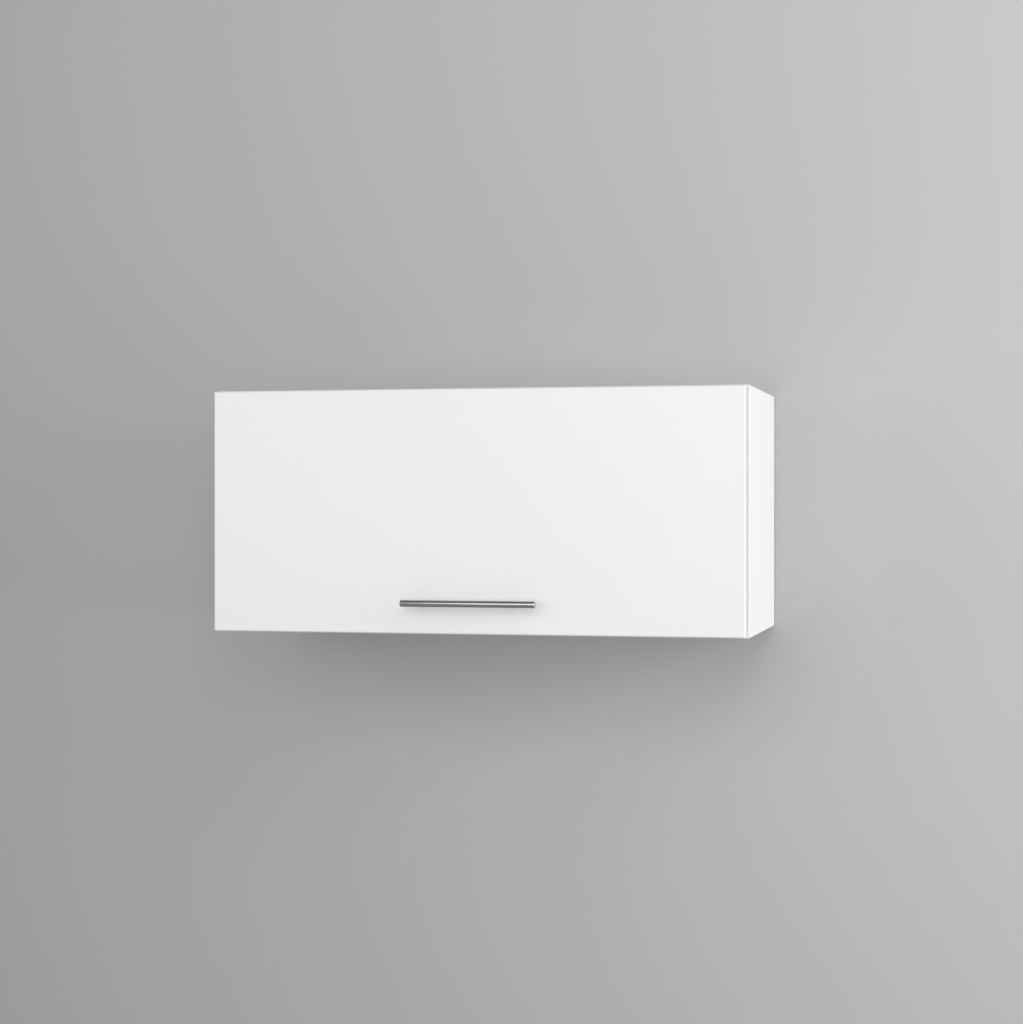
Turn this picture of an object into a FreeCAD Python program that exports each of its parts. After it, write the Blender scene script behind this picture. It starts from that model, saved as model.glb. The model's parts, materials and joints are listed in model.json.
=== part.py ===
import FreeCAD, Part
import math
import os

# A white wall cabinet whose one flap covers the front and lifts up.
# Millimetres. X runs along the wall, to the right as seen from the room, Y towards the
# wall and Z up. The origin is on the wall plane, at mid width, level with the underside.

# ---- driving dimensions: carcass ----
width = 800.0
height = 360.0
carcassDepth = 320.0
boardThickness = 16.0
bandThickness = 1.0
backThickness = 3.0
backRecess = 17.0            # from the wall plane to the back board
grooveDepth = 7.5
grooveClearance = 0.2
# ---- driving dimensions: flap ----
flapThickness = 18.0
flapGap = 3.0                # between carcass and flap
reveal = 2.0                 # how far the flap stays inside the carcass outline
flapBandThickness = 2.0
flapRounding = 1.9           # softened front edges of the flap, within its bands
bumperRadius = 4.0
bumperInset = 8.0            # from the flap's side and lower edges
bumperClearance = 0.3
bumperRounding = 1.4
# ---- driving dimensions: handle ----
handleLength = 200.0
handleRadius = 5.0
handleRise = 45.0            # bar centre above the flap's lower edge
handleStand = 25.0           # bar centre in front of the flap
handlePostSpacing = 128.0
handlePostRadius = 4.0
handleScrewRadius = 2.0
handleScrewHeadRadius = 4.0
handleScrewHeadLength = 1.5
handleScrewBite = 12.0       # how far the screw runs into the post
# ---- driving dimensions: hinges ----
hingeInset = 110.0           # hinge centres from the carcass's outer sides
cupRadius = 17.5
cupDepth = 13.5
cupWall = 0.8
cupEdge = 3.0                # wood left between the cup and the flap's top edge
cupFlange = 1.0
cupFlangeWidth = 55.0
cupFlangeHeight = 11.0
cupFlangeCorner = 5.0
cupScrewSpacing = 45.0
cupScrewDrop = 9.5           # cup screws below the cup's centre
cupScrewLength = 12.0
axisDrop = 7.0               # turning axis below the flap's top edge
axisDepth = 8.0              # turning axis behind the flap's front
hingePinRadius = 1.1
knuckleRadius = 2.2
knuckleWidth = 9.0
neckThickness = 3.0
neckDrop = 13.5              # from the axis to the top of the level neck
armWidth = 18.0
armLength = 66.0
armWall = 2.0
armSetback = 8.0             # arm body behind the front edge of the carcass
armHeight = 10.0
armScrewSetback = 14.0       # from the arm's rear end
ridgeSetback = 8.0           # the plate's ridge, behind the arm's front wall
earGap = 0.5                 # between the knuckle and the pin's ears
earDepth = 3.0               # ear below the axis
armScrewRoom = 1.5           # wood left over the arm screw's tip
plateWing = 2.5
plateWidth = 50.0
plateLength = 30.0
plateCorner = 5.0
plateScrewSpacing = 32.0
plateScrewLine = 37.0        # from the carcass's front edge
plateScrewLength = 12.0
armScrewRadius = 2.5
armScrewHeadRadius = 3.5
armScrewHeadLength = 1.5
# ---- driving dimensions: spring stays ----
stayReachDown = 95.0         # from the flap's axis down to the pin on the flap
stayPinSet = 10.0            # the pin on the flap, behind the flap's back
stayPivotBack = 83.0         # from the flap's axis back to the lever's shaft
stayPivotDown = 61.0         # from the flap's axis down to the lever's shaft
stayDepth = 15.0             # housing, across
stayLength = 140.0
stayHeight = 56.0
stayFront = 25.0             # housing's front end, before the shaft
stayBelow = 28.0             # housing's lower side, below the shaft
stayWall = 1.5
stayCorner = 5.0
coverRim = 3.0               # raised border of the cover, round a shallow field
coverField = 0.5             # depth of that field
coverLand = 4.0              # raised ring round the shaft
stayFoot = 15.0              # screw feet, past each end of the housing
stayScrewRows = 36.0
stayScrewLength = 12.0
shaftRadius = 5.0
shaftBossWall = 3.0
shaftBossLength = 2.0
leverThickness = 3.0
leverWidth = 16.0
linkWidth = 12.0
linkEyeRadius = 7.0
layerGap = 0.6               # between cover, lever and link
kneePinRadius = 3.0
kneeHeadRadius = 5.0
kneeHeadLength = 1.5
camReach = 22.0              # the cam's push face, from the shaft, when shut
camTravel = 8.0              # how far the slide moves while the flap opens
camWidth = 9.0
camHubRadius = 11.0
camStart = -0.12             # the push face runs a little past both ends, in radians
slideThickness = 12.0
guideRadius = 2.2
guideLength = 45.0
guideSpacing = 22.0
springRadius = 4.2           # centre line of the coils
springWire = 1.4
springTurns = 14
adjusterRadius = 3.0
adjusterLength = 10.0
adjusterDrop = 18.0          # below the shaft
adjusterHeadRadius = 4.5
adjusterHeadLength = 1.5
bracketPlate = 2.0
bracketEar = 3.0
bracketEarRadius = 9.0
bracketWidth = 36.0
bracketHeight = 40.0
bracketCorner = 4.0
bracketPinRadius = 4.0
bracketCollarRadius = 6.0
bracketScrewRows = 26.0
bracketScrewInset = 6.5      # from the plate's edges
bracketScrewLength = 12.0
bracketPinTail = 1.5         # the pin past the link
bracketPinRivet = 2.0
earOffset = 1.0              # the ear, past the inner screws' room
openPivotClearance = 0.3     # the link's eye round the flap's pin
# ---- driving dimensions: hangers ----
hangerWidth = 22.0
hangerLength = 58.0
hangerHeight = 40.0
hangerWall = 1.5
hangerCorner = 2.5
hangerTravel = 6.0           # each way
hookBlockSetback = 20.0      # from the back board
hookBlockLength = 20.0
hookBlockRoom = 0.5          # left past the travel, above and below the block
hookThickness = 4.0
hookHeight = 10.0
hookToothLength = 3.0
hookToothDrop = 7.0
wallPlateWidth = 60.0
wallPlateThickness = 2.0
wallPlateHeight = 24.0
wallPlateCorner = 4.0
wallPlateLip = 8.0           # the lip stands off the plate's back by this much
wallPlateLipHeight = 10.0
wallPlateHoleRadius = 3.0
wallPlateHoleSpacing = 32.0
wallPlateHoleRise = 12.0
hangerAdjusterRows = 18.0
hangerAdjusterRadius = 3.0
hangerAdjusterLength = 16.0
hangerAdjusterHeadRadius = 4.0
hangerCoverThickness = 1.5
hangerScrewLength = 12.0
notchMargin = 2.0
# ---- driving dimensions: knock-down joints and screws ----
dowelRadius = 4.0
dowelLength = 30.0
dowelBite = 11.0             # into the side board
dowelChamfer = 0.8
camLockRadius = 7.5
camLockDepth = 12.0
camLockInset = 34.0          # from the side board's inner face
camBoltRadius = 3.5
camNeckRadius = 2.0
camNeckLength = 8.0
camBoltBite = 11.0
camHeadLength = 2.5
camHeadBack = 1.5            # the head, past the lock's centre
camSocketDepth = 2.0
camPocketBack = 3.0
camCapRadius = 8.5
camCapThickness = 1.0
camCapRounding = 0.6
jointEdge = 50.0             # cam bolts from the front and rear ends of a board
dowelOffset = 32.0           # dowels from the cam bolts
woodScrewRadius = 1.75
woodScrewHeadRadius = 3.5
woodScrewHeadLength = 1.5
driveRadius = 1.3            # cross recess, as a round socket
driveDepth = 0.8
# ---- named clearances ----
runningClearance = 0.05
seatClearance = 0.1
movingClearance = 0.3

# ---- what follows from them ----
halfWidth = width / 2
sideInner = halfWidth - boardThickness
carcassFront = -carcassDepth
boardFront = carcassFront + bandThickness
topUnder = height - boardThickness
backRear = -backRecess
backFront = backRear - backThickness
flapBack = carcassFront - flapGap
flapFront = flapBack - flapThickness
flapLow = reveal
flapHigh = height - reveal
flapHalf = halfWidth - reveal
hingeX = halfWidth - hingeInset
axisY = flapFront + axisDepth
axisZ = flapHigh - axisDrop
cupZ = flapHigh - cupEdge - cupRadius
pinY = flapBack + stayPinSet
pinZ = axisZ - stayReachDown
shaftY = axisY + stayPivotBack
shaftZ = axisZ - stayPivotDown
kneeY = shaftY + pinY - axisY
kneeZ = shaftZ + pinZ - axisZ
housingInner = sideInner - stayDepth
coverInner = housingInner - stayWall
leverOuter = coverInner - layerGap
leverInner = leverOuter - leverThickness
linkOuter = leverInner - layerGap
linkInner = linkOuter - leverThickness
housingFront = shaftY - stayFront
housingRear = housingFront + stayLength
housingLow = shaftZ - stayBelow
housingHigh = housingLow + stayHeight
slideFace = shaftY + camReach + movingClearance
slideRear = slideFace + slideThickness
camRate = camTravel / (math.pi / 2)
hangerInner = sideInner - hangerWidth
hangerRear = backFront
hangerFront = hangerRear - hangerLength
hangerLow = topUnder - hangerHeight
hookCentre = sideInner - hangerWidth / 2
hookBlockFront = hangerRear - hookBlockLength - hookBlockSetback
hookBlockHeight = hangerHeight - 2 * (hangerWall + hangerTravel + hookBlockRoom)
earInner = linkInner - layerGap - leverThickness - bracketEar
bracketLeft = earInner - 2 * bracketScrewInset - earOffset
bracketRight = bracketLeft + bracketWidth
hookArmLow = (topUnder + hangerLow) / 2 + movingClearance

sides = {"left": -1, "right": 1}


def vec(x, y, z):
    return FreeCAD.Vector(x, y, z)


def block(x0, x1, y0, y1, z0, z1):
    return Part.makeBox(x1 - x0, y1 - y0, z1 - z0, vec(x0, y0, z0))


def edgesAlong(shape, axis, first, second):
    """Straight edges along an axis, at the given places in the other two axes."""
    chosen = []
    for edge in shape.Edges:
        box = edge.BoundBox
        spans = {"x": (box.XMin, box.XMax), "y": (box.YMin, box.YMax), "z": (box.ZMin, box.ZMax)}
        others = [spans[name] for name in "xyz" if name != axis]
        matches = []
        for (low, high), places in zip(others, (first, second)):
            matches.append(min(abs(low - place) + abs(high - place) for place in places) < 1e-4)
        if all(matches):
            chosen.append(edge)
    return chosen


def roundedBlock(x0, x1, y0, y1, z0, z1, axis, radius):
    """A block whose four edges along an axis are rounded."""
    shape = block(x0, x1, y0, y1, z0, z1)
    spans = {"x": (x0, x1), "y": (y0, y1), "z": (z0, z1)}
    first, second = [spans[name] for name in "xyz" if name != axis]
    return shape.makeFillet(radius, edgesAlong(shape, axis, first, second))


def rod(radius, start, end):
    line = end - start
    return Part.makeCylinder(radius, line.Length, start, line)


def joined(shapes):
    shape = shapes[0]
    for other in shapes[1:]:
        shape = shape.fuse(other)
    return shape.removeSplitter()


def without(shape, cutters):
    for cutter in cutters:
        shape = shape.cut(cutter)
    return shape


def mirrored(shape):
    return shape.mirror(vec(0, 0, 0), vec(1, 0, 0))


def onSide(shape, side):
    return shape if sides[side] > 0 else mirrored(shape)


def onBothSides(shapes):
    return list(shapes) + [mirrored(shape) for shape in shapes]


def screw(radius, length, headRadius, headLength, seat, direction):
    """A pan-head screw: seat is where the head meets the work."""
    body = joined([rod(radius, seat - direction * headLength / 2, seat + direction * length),
                   rod(headRadius, seat - direction * headLength, seat)])
    top = seat - direction * headLength
    return body.cut(rod(driveRadius, top, top + direction * driveDepth))


def woodScrews(length, seats, direction):
    return [screw(woodScrewRadius, length, woodScrewHeadRadius, woodScrewHeadLength, seat, direction)
            for seat in seats]


def crossBore(radius, inner, outer, y, z):
    """A hole along X, right through what lies between inner and outer."""
    return rod(radius, vec(inner - 1, y, z), vec(outer + 1, y, z))


def pilotHole(length, seat, direction):
    return rod(woodScrewRadius + runningClearance, seat, seat + direction * (length + runningClearance))


def platePassage(radius, thickness, seat, direction):
    """The clear hole for a screw through a plate whose outer face is the screw's seat."""
    return rod(radius + seatClearance, seat - direction, seat + direction * (thickness + 1))


# ---- screw places, used by the screws and by the boards they run into ----
def cupScrewSeats():
    z = cupZ - cupScrewDrop
    seats = []
    for centre in (-hingeX, hingeX):
        for offset in (-cupScrewSpacing / 2, cupScrewSpacing / 2):
            seats.append(vec(centre + offset, flapBack + cupFlange, z))
    return seats


def hingePlateSeats():
    y = carcassFront + plateScrewLine
    seats = []
    for centre in (-hingeX, hingeX):
        for offset in (-plateScrewSpacing / 2, plateScrewSpacing / 2):
            seats.append(vec(centre + offset, y, topUnder - plateWing))
    return seats


def staySeats():
    seats = []
    for y in (housingFront - stayFoot / 2, housingRear + stayFoot / 2):
        for rise in (-stayScrewRows / 2, stayScrewRows / 2):
            seats.append(vec(sideInner - stayWall, y, (housingLow + housingHigh) / 2 + rise))
    return seats


def bracketSeats():
    seats = []
    for x in (bracketLeft + bracketScrewInset, bracketRight - bracketScrewInset):
        for rise in (-bracketScrewRows / 2, bracketScrewRows / 2):
            seats.append(vec(x, flapBack + bracketPlate, pinZ + rise))
    return seats


def hangerSeats():
    y = (hangerFront + hookBlockFront) / 2
    seats = []
    for rise in (hangerHeight / 4, hangerHeight * 3 / 4):
        seats.append(vec(sideInner - hangerWall, y, hangerLow + rise))
    return seats


# ---- carcass ----
def cornerPlaces():
    """Y places of cam bolts and dowels along a corner, from front and rear."""
    bolts = [carcassFront + jointEdge, -jointEdge]
    dowels = [bolts[0] + dowelOffset, bolts[1] - dowelOffset]
    return bolts, dowels


def boardLevels():
    """Mid height, and the direction of the cabinet's inside, of the two level boards."""
    return [(boardThickness / 2, 1), (height - boardThickness / 2, -1)]


def dowel(y, z):
    start = vec(sideInner + dowelBite, y, z)
    pin = rod(dowelRadius, start, start - vec(dowelLength, 0, 0))
    ends = [edge for edge in pin.Edges if edge.BoundBox.XLength < dowelRadius]
    return pin.makeChamfer(dowelChamfer, ends)


def dowelHole(y, z):
    start = vec(sideInner + dowelBite + seatClearance, y, z)
    end = vec(sideInner + dowelBite - dowelLength - seatClearance, y, z)
    return rod(dowelRadius + runningClearance, start, end)


def camBolt(y, z):
    lockX = sideInner - camLockInset
    neckEnd = lockX + camNeckLength
    thread = rod(camBoltRadius, vec(sideInner + camBoltBite, y, z), vec(neckEnd, y, z))
    headEnd = lockX - camHeadBack
    neck = rod(camNeckRadius, vec(neckEnd, y, z), vec(headEnd + camHeadLength, y, z))
    head = rod(camBoltRadius, vec(headEnd + camHeadLength, y, z), vec(headEnd, y, z))
    return joined([thread, neck, head])


def camBoltHole(y, z):
    start = vec(sideInner + camBoltBite + seatClearance, y, z)
    end = vec(sideInner - camLockInset, y, z)
    return rod(camBoltRadius + runningClearance, start, end)


def camLockHole(y, z, inward):
    face = z + inward * boardThickness / 2
    lockX = sideInner - camLockInset
    bottom = face - inward * (camLockDepth + seatClearance)
    return rod(camLockRadius, vec(lockX, y, face + inward), vec(lockX, y, bottom))


def camLock(y, z, inward):
    """A drum with a round pocket for the bolt's head and a driver's socket in its face."""
    face = z + inward * boardThickness / 2
    lockX = sideInner - camLockInset
    top = face - inward * seatClearance
    bottom = face - inward * camLockDepth
    drum = rod(camLockRadius - seatClearance, vec(lockX, y, top), vec(lockX, y, bottom))
    pocket = rod(camBoltRadius + movingClearance, vec(lockX - camPocketBack, y, z),
                 vec(lockX + camLockRadius + 1, y, z))
    socket = rod(camNeckRadius, vec(lockX, y, top + inward), vec(lockX, y, top - inward * camSocketDepth))
    return without(drum, [pocket, socket])


def camCap(y, z, inward):
    face = z + inward * boardThickness / 2
    lockX = sideInner - camLockInset
    outer = face + inward * camCapThickness
    cap = rod(camCapRadius, vec(lockX, y, face), vec(lockX, y, outer))
    rim = [edge for edge in cap.Edges if abs(edge.BoundBox.Center.z - outer) < 1e-4]
    return cap.makeFillet(camCapRounding, rim)


def eachCorner(maker, withInward):
    bolts, _ = cornerPlaces()
    shapes = []
    for z, inward in boardLevels():
        for y in bolts:
            shapes.append(maker(y, z, inward) if withInward else maker(y, z))
    return shapes


def eachDowel(maker):
    _, dowels = cornerPlaces()
    return [maker(y, z) for z, _ in boardLevels() for y in dowels]


def sidePanel():
    shape = block(sideInner, halfWidth, boardFront, 0, 0, height)
    groove = block(sideInner - 1, sideInner + grooveDepth,
                   backFront - grooveClearance, backRear + grooveClearance,
                   boardThickness - grooveDepth, topUnder + grooveDepth)
    cutters = [groove] + eachDowel(dowelHole) + eachCorner(camBoltHole, False)
    outward = vec(1, 0, 0)
    for seat in staySeats():
        cutters.append(pilotHole(stayScrewLength - stayWall, vec(sideInner, seat.y, seat.z), outward))
    for seat in hangerSeats():
        cutters.append(pilotHole(hangerScrewLength - hangerWall, vec(sideInner, seat.y, seat.z), outward))
    return without(shape, cutters)


def levelPanel(z, inward):
    shape = block(-sideInner, sideInner, boardFront, 0, z - boardThickness / 2, z + boardThickness / 2)
    face = z + inward * boardThickness / 2
    grooveEnd = face - inward * grooveDepth
    low, high = sorted([face + inward, grooveEnd])
    groove = block(-halfWidth, halfWidth,
                   backFront - grooveClearance, backRear + grooveClearance, low, high)
    bolts, dowels = cornerPlaces()
    cutters = [dowelHole(y, z) for y in dowels]
    cutters += [camBoltHole(y, z) for y in bolts]
    cutters += [camLockHole(y, z, inward) for y in bolts]
    cutters = onBothSides(cutters) + [groove]
    if inward < 0:
        for seat in hingePlateSeats():
            hole = pilotHole(plateScrewLength - plateWing, vec(seat.x, seat.y, topUnder), vec(0, 0, 1))
            cutters.append(hole)
    return without(shape, cutters)


def backPanel():
    reach = grooveDepth - seatClearance
    shape = block(-sideInner - reach, sideInner + reach, backFront, backRear,
                  boardThickness - reach, topUnder + reach)
    notch = block(hangerInner - notchMargin, halfWidth, backFront - 1, backRear + 1,
                  hangerLow + hangerWall, height)
    return without(shape, onBothSides([notch]))


def carcassBands():
    upright = block(sideInner, halfWidth, carcassFront, boardFront, 0, height)
    bands = onBothSides([upright])
    for z, _ in boardLevels():
        bands.append(block(-sideInner, sideInner, carcassFront, boardFront,
                           z - boardThickness / 2, z + boardThickness / 2))
    return bands


# ---- flap ----
def handlePosts():
    return [-handlePostSpacing / 2, handlePostSpacing / 2]


def handleScrewHoles():
    z = flapLow + handleRise
    return [rod(handleScrewRadius + seatClearance, vec(x, flapFront - 1, z), vec(x, flapBack + 1, z))
            for x in handlePosts()]


def flapPanel():
    shape = block(-flapHalf + flapBandThickness, flapHalf - flapBandThickness, flapFront, flapBack,
                  flapLow + flapBandThickness, flapHigh - flapBandThickness)
    cutters = handleScrewHoles()
    bottom = flapBack - cupDepth - seatClearance
    for x in (-hingeX, hingeX):
        cutters.append(rod(cupRadius, vec(x, flapBack + 1, cupZ), vec(x, bottom, cupZ)))
    forward = vec(0, -1, 0)
    for seat in cupScrewSeats():
        cutters.append(pilotHole(cupScrewLength - cupFlange, vec(seat.x, flapBack, seat.z), forward))
    seats = [vec(seat.x * sign, flapBack, seat.z) for seat in bracketSeats() for sign in (1, -1)]
    cutters += [pilotHole(bracketScrewLength - bracketPlate, seat, forward) for seat in seats]
    return without(shape, cutters)


def roundedFront(band, outerSides):
    """Rounds a band's front edges on its outer sides, given as ("x" or "z", place) pairs."""
    edges = []
    for edge in band.Edges:
        box = edge.BoundBox
        if max(abs(box.YMin - flapFront), abs(box.YMax - flapFront)) > 1e-6:
            continue
        spans = {"x": (box.XMin, box.XMax), "z": (box.ZMin, box.ZMax)}
        if any(max(abs(value - place) for value in spans[axis]) < 1e-6 for axis, place in outerSides):
            edges.append(edge)
    return band.makeFillet(min(flapRounding, flapBandThickness * 0.95), edges)


def flapBands():
    inner = flapHalf - flapBandThickness
    upright = block(inner, flapHalf, flapFront, flapBack, flapLow, flapHigh)
    upright = roundedFront(upright, [("x", flapHalf), ("z", flapLow), ("z", flapHigh)])
    low = block(-inner, inner, flapFront, flapBack, flapLow, flapLow + flapBandThickness)
    low = roundedFront(low, [("z", flapLow)])
    high = block(-inner, inner, flapFront, flapBack, flapHigh - flapBandThickness, flapHigh)
    high = roundedFront(high, [("z", flapHigh)])
    return onBothSides([upright]) + [low, high]


def bumperPads():
    x = flapHalf - bumperInset
    z = flapLow + bumperInset
    thickness = flapGap - bumperClearance
    pad = rod(bumperRadius, vec(x, flapBack, z), vec(x, flapBack + thickness, z))
    rim = [edge for edge in pad.Edges if edge.BoundBox.YMin > flapBack + thickness / 2]
    return onBothSides([pad.makeFillet(bumperRounding, rim)])


# ---- handle ----
def handleBar():
    y = flapFront - handleStand
    z = flapLow + handleRise
    bar = rod(handleRadius, vec(-handleLength / 2, y, z), vec(handleLength / 2, y, z))
    ends = [edge for edge in bar.Edges if edge.Curve.TypeId == "Part::GeomCircle"]
    bar = bar.makeChamfer(0.5, ends)
    sockets = [rod(handlePostRadius + runningClearance, vec(x, flapFront, z), vec(x, y - 1, z))
               for x in handlePosts()]
    return without(bar, sockets)


def handlePost(x):
    z = flapLow + handleRise
    y = flapFront - handleStand
    post = rod(handlePostRadius, vec(x, flapFront, z), vec(x, y - 1 + seatClearance, z))
    bore = rod(handleScrewRadius + runningClearance, vec(x, flapFront + 1, z),
               vec(x, flapFront - handleScrewBite - seatClearance, z))
    return post.cut(bore)


def handleScrew(x):
    z = flapLow + handleRise
    length = flapThickness + handleScrewBite
    return screw(handleScrewRadius, length, handleScrewHeadRadius, handleScrewHeadLength,
                 vec(x, flapBack, z), vec(0, -1, 0))


# ---- hinges, made for the right-hand one ----
def hingeCup():
    x = hingeX
    bottom = flapBack - cupDepth
    outer = rod(cupRadius - seatClearance, vec(x, flapBack, cupZ), vec(x, bottom, cupZ))
    ring = rod(cupRadius + 1, vec(x, flapBack + cupFlange, cupZ), vec(x, flapBack, cupZ))
    flangeZ = cupZ - cupScrewDrop
    flange = roundedBlock(x - cupFlangeWidth / 2, x + cupFlangeWidth / 2,
                          flapBack, flapBack + cupFlange,
                          flangeZ - cupFlangeHeight / 2, flangeZ + cupFlangeHeight / 2,
                          "y", cupFlangeCorner)
    innerRadius = cupRadius - seatClearance - cupWall
    hollow = rod(innerRadius, vec(x, flapBack + cupFlange + 1, cupZ), vec(x, bottom + cupWall, cupZ))
    shell = joined([outer, ring, flange]).cut(hollow)
    ears = []
    for low, high in ((-cupRadius, -knuckleWidth / 2 - earGap), (knuckleWidth / 2 + earGap, cupRadius)):
        ear = block(x + low, x + high, bottom + cupWall / 2, axisY + knuckleRadius,
                    axisZ - earDepth, axisZ + knuckleRadius + earDepth)
        room = rod(innerRadius + cupWall / 2, vec(x, flapBack, cupZ), vec(x, bottom, cupZ))
        ears.append(ear.common(room))
    cup = joined([shell] + ears)
    half = vec(hingePinHalf(), 0, 0)
    centre = vec(x, axisY, axisZ)
    cutters = [rod(hingePinRadius + runningClearance, centre - half, centre + half)]
    for seat in cupScrewSeats():
        cutters.append(platePassage(woodScrewRadius, cupFlange, seat, vec(0, -1, 0)))
    return without(cup, cutters)


def hingePinHalf():
    """The pin ends inside the ears, short of the cup's outer wall."""
    rise = axisZ - cupZ
    chord = math.sqrt((cupRadius - seatClearance - cupWall) ** 2 - rise ** 2)
    return chord


def hingePin():
    x = hingeX
    half = hingePinHalf() - seatClearance
    return rod(hingePinRadius, vec(x - half, axisY, axisZ), vec(x + half, axisY, axisZ))


def hingeArm():
    x = hingeX
    half = knuckleWidth / 2
    neckTop = axisZ - neckDrop
    neckLow = neckTop - neckThickness
    bodyFront = carcassFront + armSetback
    knuckle = rod(knuckleRadius, vec(x - half, axisY, axisZ), vec(x + half, axisY, axisZ))
    neckFront = axisY - neckThickness / 2
    drop = block(x - half, x + half, neckFront, neckFront + neckThickness, neckLow, axisZ)
    level = block(x - half, x + half, neckFront, bodyFront + 1, neckLow, neckTop)
    neck = joined([drop, level])
    corner = [edge for edge in neck.Edges
              if abs(edge.BoundBox.YMax - neckFront) < 1e-6
              and abs(edge.BoundBox.ZMax - neckLow) < 1e-6]
    neck = neck.makeFillet(neckThickness * 0.8, corner)
    top = topUnder - plateWing - movingClearance
    under = top - armHeight
    body = block(x - armWidth / 2, x + armWidth / 2, bodyFront, bodyFront + armLength, under, top)
    channel = block(x - armWidth / 2 + armWall, x + armWidth / 2 - armWall, bodyFront + armWall,
                    bodyFront + armLength + 1, under + armWall, top + 1)
    body = body.cut(channel)
    bore = crossBore(hingePinRadius + runningClearance, x - half, x + half, axisY, axisZ)
    hole = rod(armScrewRadius + seatClearance, vec(x, armScrewY(), under - 1), vec(x, armScrewY(), top))
    return without(joined([neck, knuckle, body]), [bore, hole])


def armScrewY():
    return carcassFront + armSetback + armLength - armScrewSetback


def plateBlockSpan():
    """Front and rear ends of the raised block that the arm sits over."""
    return carcassFront + armSetback + armWall + ridgeSetback, carcassFront + armSetback + armLength


def hingePlate():
    x = hingeX
    low = topUnder - plateWing
    lineY = carcassFront + plateScrewLine
    wing = roundedBlock(x - plateWidth / 2, x + plateWidth / 2,
                        lineY - plateLength / 2, lineY + plateLength / 2, low, topUnder, "z", plateCorner)
    blockHalf = armWidth / 2 - armWall - seatClearance
    front, rear = plateBlockSpan()
    under = low - movingClearance - armHeight + armWall + seatClearance
    ridge = block(x - blockHalf, x + blockHalf, front, rear, under, topUnder)
    cutters = [platePassage(woodScrewRadius, plateWing, seat, vec(0, 0, 1)) for seat in hingePlateSeats()]
    cutters.append(rod(armScrewRadius + runningClearance, vec(x, armScrewY(), under - 1),
                       vec(x, armScrewY(), topUnder - armScrewRoom + seatClearance)))
    return without(joined([wing, ridge]), cutters)


def armScrew():
    top = topUnder - plateWing - movingClearance - armHeight
    length = topUnder - armScrewRoom - top
    return screw(armScrewRadius, length, armScrewHeadRadius, armScrewHeadLength,
                 vec(hingeX, armScrewY(), top), vec(0, 0, 1))


# ---- spring stays, made for the right-hand one ----
def stayHousing():
    foot = roundedBlock(sideInner - stayWall, sideInner, housingFront - stayFoot, housingRear + stayFoot,
                        housingLow, housingHigh, "x", stayCorner)
    outer = roundedBlock(housingInner, sideInner, housingFront, housingRear,
                         housingLow, housingHigh, "x", stayCorner)
    inner = roundedBlock(housingInner - 1, sideInner - stayWall,
                         housingFront + stayWall, housingRear - stayWall,
                         housingLow + stayWall, housingHigh - stayWall, "x", stayCorner - stayWall)
    boss = rod(shaftRadius + shaftBossWall, vec(sideInner - stayWall, shaftY, shaftZ),
               vec(sideInner - stayWall - shaftBossLength, shaftY, shaftZ))
    shape = joined([foot, outer.cut(inner), boss])
    outward = vec(1, 0, 0)
    cutters = [platePassage(woodScrewRadius, stayWall, seat, outward) for seat in staySeats()]
    cutters.append(rod(shaftRadius + runningClearance, vec(sideInner - stayWall / 2, shaftY, shaftZ),
                       vec(housingInner, shaftY, shaftZ)))
    cutters.append(rod(adjusterRadius + runningClearance, vec(stayMid(), housingFront - 1, adjusterZ()),
                       vec(stayMid(), housingFront + stayWall + 1, adjusterZ())))
    return without(shape, cutters)


def stayMid():
    return (housingInner + sideInner - stayWall) / 2


def adjusterZ():
    return shaftZ - adjusterDrop


def stayAdjuster():
    return screw(adjusterRadius, adjusterLength, adjusterHeadRadius, adjusterHeadLength,
                 vec(stayMid(), housingFront, adjusterZ()), vec(0, 1, 0))


def stayCover():
    plate = roundedBlock(coverInner, housingInner, housingFront, housingRear,
                         housingLow, housingHigh, "x", stayCorner)
    field = roundedBlock(coverInner - 1, coverInner + coverField,
                         housingFront + coverRim, housingRear - coverRim,
                         housingLow + coverRim, housingHigh - coverRim, "x", stayCorner - coverRim)
    land = crossBore(shaftRadius + coverLand, coverInner, housingInner, shaftY, shaftZ)
    bore = crossBore(shaftRadius + runningClearance, coverInner, housingInner, shaftY, shaftZ)
    return without(plate, [field.cut(land), bore])


def stayShaft():
    start = vec(sideInner - stayWall / 2 - seatClearance, shaftY, shaftZ)
    return rod(shaftRadius, start, vec(leverInner - seatClearance, shaftY, shaftZ))


def camPoint(angle):
    """The push face is an involute, so the slide's flat face moves in step with the turn."""
    reach = camReach - camRate * angle
    across = reach * math.cos(angle) + camRate * math.sin(angle)
    up = reach * math.sin(angle) - camRate * math.cos(angle)
    return vec(0, shaftY + across, shaftZ + up)


def stayCam():
    steps = 8
    end = math.pi / 2 - camStart
    points = [camPoint(camStart + (end - camStart) * step / steps) for step in range(steps + 1)]
    face = Part.BSplineCurve()
    face.interpolate(points)
    centre = vec(0, shaftY, shaftZ)
    edges = [Part.makeLine(points[-1], centre), Part.makeLine(centre, points[0])]
    outline = Part.Wire([face.toShape()] + edges)
    lobe = Part.Face(outline).extrude(vec(camWidth, 0, 0))
    hub = rod(camHubRadius, centre, centre + vec(camWidth, 0, 0))
    cam = joined([lobe, hub])
    cam = cam.cut(crossBore(shaftRadius + runningClearance, 0, camWidth, shaftY, shaftZ))
    cam.translate(vec(stayMid() - camWidth / 2, 0, 0))
    return cam


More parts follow.
